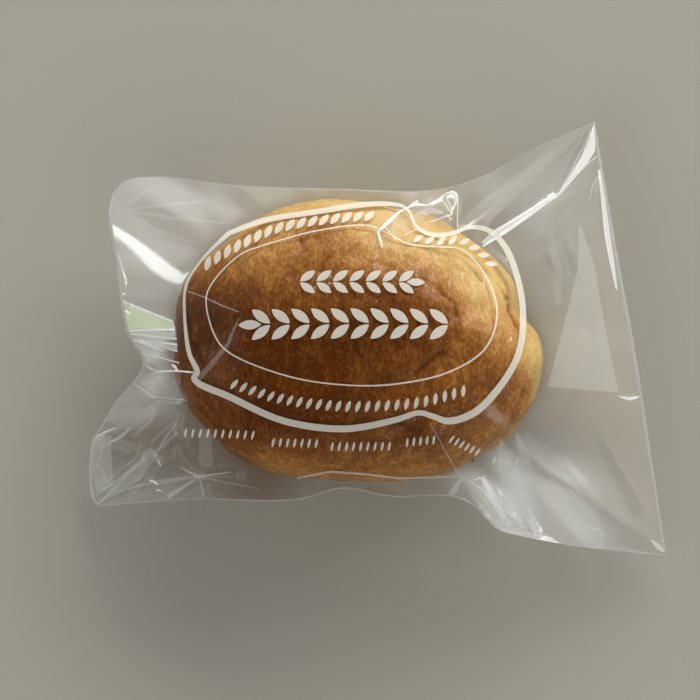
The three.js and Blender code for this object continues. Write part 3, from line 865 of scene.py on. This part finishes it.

# Each painted highlight: how white it is, and its knots with their places and widths. A knot without one is a
# hairline.
CREASE_HIGHLIGHTS = [
    # top, bunched over the bun's shoulder
    (0.9, (1.3, 23.6), (-0.1, 28.4, 0.6), (3.2, 31.8, 1), (6.5, 35.4, 0.5), (9.6, 37.4)),
    (0.6, (2, 30, 0.25), (3.8, 27.6, 0.4), (5.2, 26.2, 0.25)),
    (0.7, (9, 37), (11, 38.4, 1.6), (12, 39.6)),
    (0.7, (11, 38.2, 1.2), (15.4, 37.8)),
    (0.7, (14.6, 38), (17.6, 39.2, 0.6), (20.4, 41.9, 0.4), (22.4, 42.6, 1), (23.7, 41.4, 0.7)),
    (0.6, (23.7, 41.4, 0.5), (23.2, 38.8, 0.6), (22, 36.4, 0.4), (21.7, 34.7, 0.5)),
    (0.45, (21.9, 34.7, 0.5), (17.6, 33, 0.35), (13.6, 31.8, 0.2)),
    (0.4, (20.2, 42.2, 0.6), (22.3, 41.6, 2.4), (23.4, 39.6, 1.2), (22.4, 36.4, 0.4)),
    (0.55, (18.8, 40), (20.2, 37.8, 0.5), (21.8, 35.2)),
    (0.45, (20, 41.4), (21.2, 38.6, 0.4), (22.1, 35.6)),
    (0.22, (13.4, 35, 0.6), (16.6, 36, 2.4), (19.6, 35.2, 0.6)),
    (0.3, (10.2, 34), (13, 35.6, 0.5), (16.4, 37.6)),
    (0.4, (23.9, 40.4, 0.25), (23.5, 34, 0.35), (23.4, 29.6, 0.25)),
    (0.3, (7.6, 27.7, 0.2), (11.4, 29.6, 0.6), (15.3, 30.2, 0.2)),
    # upper right
    (0.4, (30.6, 25.8, 0.6), (34.5, 28.6, 2.5), (38.6, 31.5, 2.2), (45.2, 36.2, 1.5), (53.9, 42, 0.4)),
    (0.95, (30.8, 24.8), (37.6, 29.7, 1.1), (45.2, 35.5, 1.1), (53.9, 41.9, 0.4)),
    (0.6, (32.8, 28.4, 0.25), (42.2, 34.9), (53.6, 42.4)),
    (0.9, (53.9, 42, 0.5), (57.6, 47.7, 0.6), (61.1, 53.3, 0.5), (65.2, 64, 0.35)),
    (0.7, (54.2, 42), (58.4, 48, 1.7), (62, 53, 2.6), (64.2, 56.6, 2.6), (65.4, 64.2)),
    (0.45, (59.4, 48, 0.25), (62.6, 51.6, 0.35), (66.3, 54.8, 0.35)),
    (0.8, (65.6, 63.4), (66.9, 56, 0.8), (67.4, 51.4, 0.8), (67.6, 49, 0.4)),
    (0.6, (67, 50.9, 0.4), (67.3, 47, 1.1), (68.2, 38.8, 1.2), (69.1, 30.6, 1.5), (70.4, 22.5, 1.3),
           (71.3, 17, 0.8), (71.8, 14.3)),
    (0.9, (66.5, 50.4, 0.4), (67.6, 38.8, 0.4), (68.4, 30.6, 0.5), (69.8, 22.5, 0.4), (71.6, 14.3, 0.2)),
    (0.35, (63.4, 40.5, 0.2), (64.6, 45.6), (67.2, 49.8)),
    # right edge
    (0.85, (72, -17.9, 0.25), (75.4, -18.5, 1.1), (78.4, -17.7)),
    (0.15, (60.4, 33, 0.8), (62.4, 20, 5.5), (61.6, 2, 13), (61, -16.5, 22)),
    (0.06, (51.6, 30, 0.8), (53.6, 18, 3), (53.4, 8, 2)),
    # lower right
    (0.95, (29.6, -42.6), (31.4, -43.6, 1.1), (34.2, -48, 2.1), (36.6, -52, 1.7), (39.4, -56.4)),
    (0.6, (31.6, -42.8), (33.8, -45.4, 1.1), (37.2, -50.4, 1.1), (39.8, -55.8)),
    (0.75, (26.3, -43.3), (31.5, -46.6, 0.45), (36.4, -52.6, 0.35), (38.9, -55.8)),
    (0.8, (28.2, -43.4, 0.25), (31.9, -42.6, 0.6)),
    (0.85, (31.8, -53.4), (38.1, -56.1, 0.4), (43.5, -57.8, 0.8), (47.9, -60, 0.7)),
    (0.75, (44, -53), (46, -56, 1.8), (47.6, -58.6, 1.6), (48.2, -59.6, 0.4)),
    (0.35, (37, -47.8, 0.4), (38.4, -51.6, 2.2), (41, -56.4, 1)),
    (0.2, (44, -46.5, 1), (43.4, -52, 4.5), (43, -57, 4)),
    (0.14, (36, -31.6, 0.8), (36.8, -38, 3), (37.4, -46, 2), (38.2, -50, 0.6)),
    (0.12, (40.6, -30, 0.8), (43, -36, 3.4), (45.6, -44, 2), (46.4, -48, 0.6)),
    (0.45, (40.8, -45.6, 0.4), (43.4, -50.6, 1.6), (46.6, -56, 2), (48.4, -59.4, 0.5)),
    (0.12, (52.6, -36, 0.8), (58.9, -47, 4), (66.4, -57.6, 1.2)),
    (0.1, (50, -40, 0.6), (55.6, -48.6, 2.4), (62, -56, 0.8)),
    (0.8, (42, -46.7), (43.4, -47.3, 1), (44.6, -47.2)),
    (0.35, (31.2, -46.6, 0.25), (31, -50), (30.9, -53, 0.25)),
    (0.3, (24.6, -43.3, 0.6), (23.2, -45.4, 1.6), (21.8, -47.4, 1.8)),
    (0.4, (55.9, -55.1, 0.25), (66.5, -57.7), (67.2, -63.1)),
    (0.35, (82.1, -60.5, 0.5), (84.4, -62.6, 1.8), (86.1, -64, 0.4)),
    (0.16, (15.1, -27.8, 0.25), (19.6, -35.3, 0.4), (24.6, -43.3, 0.4)),
    # upper left
    (0.14, (-76, 37.9), (-63.4, 38.6, 1.2), (-50.8, 39.3)),
    (0.12, (-76, 37.9), (-61.2, 34.5, 1.6), (-43.4, 31.9)),
    (0.16, (-76, 37.9), (-70.5, 42.4, 0.8), (-63.6, 45.4)),
    (0.1, (-73.8, 36), (-64.8, 30.5, 1.2), (-52.6, 25.7)),
    # left of the bun
    (0.85, (-80, 30.8, 0.4), (-78.2, 20.1, 0.4), (-77.3, 11.2, 0.5), (-74.8, 1.9, 0.6)),
    (0.6, (-79.4, 28.4, 0.25), (-76.9, 22.5, 0.4), (-75.3, 15, 0.25)),
    (0.95, (-77.3, 11.2, 0.4), (-69, 7.3, 0.6), (-60.8, 3.4, 0.6)),
    (0.6, (-60.8, 3.4, 0.4), (-60.1, 1.1, 0.5)),
    (0.95, (-74.8, 1.9, 0.5), (-67.6, 1.4, 0.7), (-60.1, 0.9, 0.8)),
    (0.55, (-75.6, 3.4, 0.4), (-68, 2.7, 1.9), (-60.4, 1.7, 1.3)),
    (0.5, (-74.4, 1, 0.2), (-67.6, 0.4, 0.9), (-59.8, -0.7, 2)),
    (0.85, (-73.9, 0.9), (-66.4, -0.6, 0.5), (-59.5, -1.9, 0.6)),
    (0.4, (-73.2, -0.9, 0.2), (-66.5, -2.6, 0.9), (-59.2, -4.6, 1.8)),
    (0.85, (-73.2, -0.8), (-66.6, -2.2, 0.4), (-59.3, -3.6, 0.5)),
    (0.7, (-73, -1.2), (-66.5, -3.2, 0.4), (-59.2, -5.6, 0.5)),
    (0.6, (-70.6, -4.6, 0.25), (-64, -7, 0.45), (-58.6, -9.2, 0.5)),
    (0.75, (-71.4, -7.3, 0.25), (-65.3, -11.1, 0.5), (-60.4, -11.4, 0.6), (-54, -12.4, 0.4)),
    (0.9, (-61, -9.2), (-60, -10.1, 1), (-59.2, -11.4, 0.5)),
    (0.95, (-58.4, 14.4, 0.4), (-57.3, 16.2, 0.9), (-56, 17.6)),
    (0.2, (-56.1, 11.8), (-50.9, 9.6, 0.4), (-45.8, 6.8, 0.45), (-40.7, 4.7, 0.4)),
    (0.12, (-40.7, 3, 0.5), (-44, -4.8, 1.1), (-48.8, -10.4, 1.6), (-53.3, -15, 1.6)),
    (0.25, (-56.8, 12.5), (-57.3, 3.5, 0.4), (-56.4, -5.4, 0.5), (-53.6, -12.9, 0.4)),
    # lower left pocket
    (0.16, (-84, -49.2, 0.4), (-72.5, -41, 4.6), (-66.4, -34.6, 3.4)),
    (0.3, (-84, -49.2, 0.25), (-79, -44.9, 0.35), (-72, -38.6, 0.25)),
    (0.25, (-80, -46.6, 0.25), (-72, -44.4, 0.5), (-66, -43.2, 0.25)),
    (0.14, (-82.9, -29, 5.6), (-82.9, -38, 6.6), (-81.8, -45.6, 5.4)),
    (0.4, (-84.6, -29.4), (-81.4, -28, 0.7), (-77.9, -27)),
    (0.3, (-80.8, -31.6), (-76.6, -29.6, 1.2), (-73.4, -27.2)),
    (0.2, (-84.9, -33.2, 0.25), (-82.3, -31.8, 0.5), (-84.3, -37.8)),
    (0.18, (-84.3, -37.8), (-81.6, -41, 0.6), (-84.7, -43.7, 0.25)),
    (0.16, (-66.5, -24.6), (-68.5, -26.6, 0.5), (-73.1, -29.9)),
    (0.14, (-59.3, -26.6), (-63.2, -31.2, 0.9), (-65.2, -34.5, 0.4)),
    (0.08, (-80.6, -23.4, 2), (-74.8, -24.4, 7), (-69.4, -25, 6), (-64.6, -20.6, 1)),
    (0.3, (-72.9, -13.8), (-66.8, -18.6, 0.4), (-56, -20.4, 0.25)),
    (0.1, (-71.6, -12, 1), (-66, -14, 7), (-58.5, -15.5, 8.5)),
    (0.3, (-53.4, -42, 0.7), (-58.8, -39.3, 0.25)),
    (0.3, (-53.4, -42, 0.6), (-43.2, -40.9, 0.2)),
    (0.15, (-53.4, -42, 0.5), (-35.7, -45.6, 0.25)),
    (0.2, (-53.4, -42, 0.5), (-51.8, -47.2, 0.2)),
    (0.16, (-53.6, -42.2, 0.4), (-63, -47.6, 1.6)),
    (0.16, (-53.8, -42, 0.4), (-60, -42.6, 1.2), (-66.4, -43.6, 1.6)),
    (0.09, (-50.9, -28.8, 4), (-50.9, -39.3, 4)),
    (0.9, (-68.4, -42.8, 0.25), (-66.6, -43.3, 0.8), (-65.8, -44.2)),
    (0.8, (-66.2, -45.4, 0.4), (-64.9, -45.9, 0.5)),
    (0.5, (-65.6, -36.6, 0.25), (-65, -38, 0.7), (-64.6, -38.9, 0.25)),
    # low on the front
    (0.3, (-23.9, -42.9), (-14.2, -41.3, 0.6), (-3.8, -42, 0.6), (6.5, -43.1, 0.5), (18.3, -42.6, 0.5),
           (24.8, -42.3)),
]


def crease_ribbon(knots, step=0.8):
    """A ribbon along straight stretches between the knots, each of which gives its place and width."""
    knots = np.array([(*knot, HAIRLINE)[:3] for knot in knots])
    run = np.concatenate([[0], np.cumsum(np.hypot(*np.diff(knots[:, :2], axis=0).T))])
    at = np.linspace(0, run[-1], int(run[-1] / step) + 2)
    x, y, width = (np.interp(at, run, knots[:, k]) for k in range(3))
    return ribbon_on_film(x, y, np.gradient(x), np.gradient(y), width, 3)


def highlight_film_material():
    """Painted highlights on the film: glossy white, or faint green by the green_reflection value at each
    point as a painted reflection, that covers what is behind it by the white value there."""
    material, tree = bare_material("painted_highlight_film")
    colour = blended(tree, point_value(tree, "green_reflection"), (0.93, 0.94, 0.92), (0.74, 0.86, 0.55))
    gloss = {"Base Color": colour, "Roughness": 0.3, "Specular IOR Level": 1}
    thin_layer(tree, point_value(tree, "white"), gloss)
    return material


creases = [GREEN_REFLECTION_FACET] + CREASE_HIGHLIGHTS
ribbons = [crease_ribbon(knots) - [0, 0, INK_LIFT - CREASE_LIFT] for _, *knots in creases]
sizes = [ribbon[..., 0].size for ribbon in ribbons]
whiteness = np.repeat([crease[0] for crease in creases], sizes)
greenness = np.repeat([float(number == 0) for number in range(len(creases))], sizes)
add_piece("film_painted_highlights", [(ribbon, False) for ribbon in ribbons], highlight_film_material(),
          marks={"white": whiteness, "green_reflection": greenness})

# The floor.
# A plain pale board, larger than the camera sees.
FLOOR_HALF = 1.5
floor_mesh = bpy.data.meshes.new("floor")
corners = [(x * FLOOR_HALF, y * FLOOR_HALF, 0) for x, y in ((-1, -1), (1, -1), (1, 1), (-1, 1))]
floor_mesh.from_pydata(corners, [], [(0, 1, 2, 3)])
floor = bpy.data.objects.new("floor", floor_mesh)
bpy.context.collection.objects.link(floor)
board = bpy.data.materials.new("pale_board")
board.use_nodes = True
paint = {"Base Color": (0.385, 0.374, 0.322, 1), "Roughness": 0.9}
fill(board.node_tree.nodes["Principled BSDF"], paint)
floor_mesh.materials.append(board)

# Light.
# Soft windows low round the bag, the brightest behind it on the right, and a weak high lamp that shows in no
# gloss. The room is dim overhead, has a warm wall on the right and a bright patch low in front.
LAMP_DISTANCE = 3.0


def add_window(name, azimuth, elevation, size, radiance, colour, mirrored=True):
    """A rectangle of light that faces the bag, at an azimuth from +X and an elevation in degrees. One that
    isn't mirrored only lights, and shows in no gloss."""
    data = bpy.data.lights.new(name, "AREA")
    data.shape = "RECTANGLE"
    data.size, data.size_y = size
    data.energy = radiance * math.pi * size[0] * size[1]
    data.color = colour
    lamp = bpy.data.objects.new(name, data)
    a, e = math.radians(azimuth), math.radians(elevation)
    away = Vector((math.cos(e) * math.cos(a), math.cos(e) * math.sin(a), math.sin(e)))
    lamp.location = LAMP_DISTANCE * away
    lamp.rotation_euler = (-lamp.location).to_track_quat("-Z", "Y").to_euler()
    lamp.visible_glossy = mirrored
    bpy.context.collection.objects.link(lamp)


add_window("window", 62, 23, (3.4, 0.9), 11, (1.0, 0.975, 0.94))
add_window("left_window", 170, 13.5, (2.1, 0.24), 9, (0.95, 1.0, 1.0))
add_window("ceiling", 225, 46, (2.4, 2.0), 2.1, (1.0, 0.97, 0.93), mirrored=False)

world = bpy.data.worlds.new("room")
world.use_nodes = True
tree = world.node_tree
way = add_node(tree, "TexCoord", {}, "Generated")


def toward(aim):
    """Cosine of the angle between each way out of the room's middle and an aim."""
    return add_node(tree, "VectorMath", {0: way, 1: aim}, "Value", operation="DOT_PRODUCT")


height = add_node(tree, "SeparateXYZ", {"Vector": way}, "Z")
walls = remapped(tree, height, 0.7, 0.35, 0.03, 0.8, "SMOOTHSTEP")
window_side = remapped(tree, toward((0.5, 0.87, 0)), -0.7, 0.7, 0.45, 1.3)
low_patch = remapped(tree, toward((0.52, -0.742, 0.423)), 0.9, 0.99, 0, 1.6, "SMOOTHSTEP")
warm_wall = remapped(tree, toward((0.962, 0.025, 0.272)), 0.945, 0.995, 0, 1, "SMOOTHSTEP")
cool_light = combined(tree, "ADD", combined(tree, "MULTIPLY", walls, window_side), low_patch)
fill(tree.nodes["Background"], {
    "Color": blended(tree, warm_wall, (0.96, 0.99, 1), (1, 0.84, 0.66)),
    "Strength": combined(tree, "MULTIPLY_ADD", warm_wall, 0.36, cool_light),
})
bpy.context.scene.world = world
bpy.context.scene.view_settings.view_transform = "Standard"

# The camera.
# Nearly straight above, a little towards the viewer's side.
CAMERA_DISTANCE = 1.2
CAMERA_ELEVATION = math.radians(85)
CAMERA_AIM = np.array([-8.25, -3.75, 15.0]) * MM
FIELD_WIDTH = 0.21
camera_data = bpy.data.cameras.new("camera")
camera = bpy.data.objects.new("camera", camera_data)
bpy.context.collection.objects.link(camera)
bpy.context.scene.camera = camera
backward = np.array([0, -math.cos(CAMERA_ELEVATION), math.sin(CAMERA_ELEVATION)])
camera.location = CAMERA_AIM + CAMERA_DISTANCE * backward
camera.rotation_euler = (math.pi / 2 - CAMERA_ELEVATION, 0, 0)
camera_data.lens = camera_data.sensor_width * CAMERA_DISTANCE / FIELD_WIDTH
camera_data.clip_end = 20
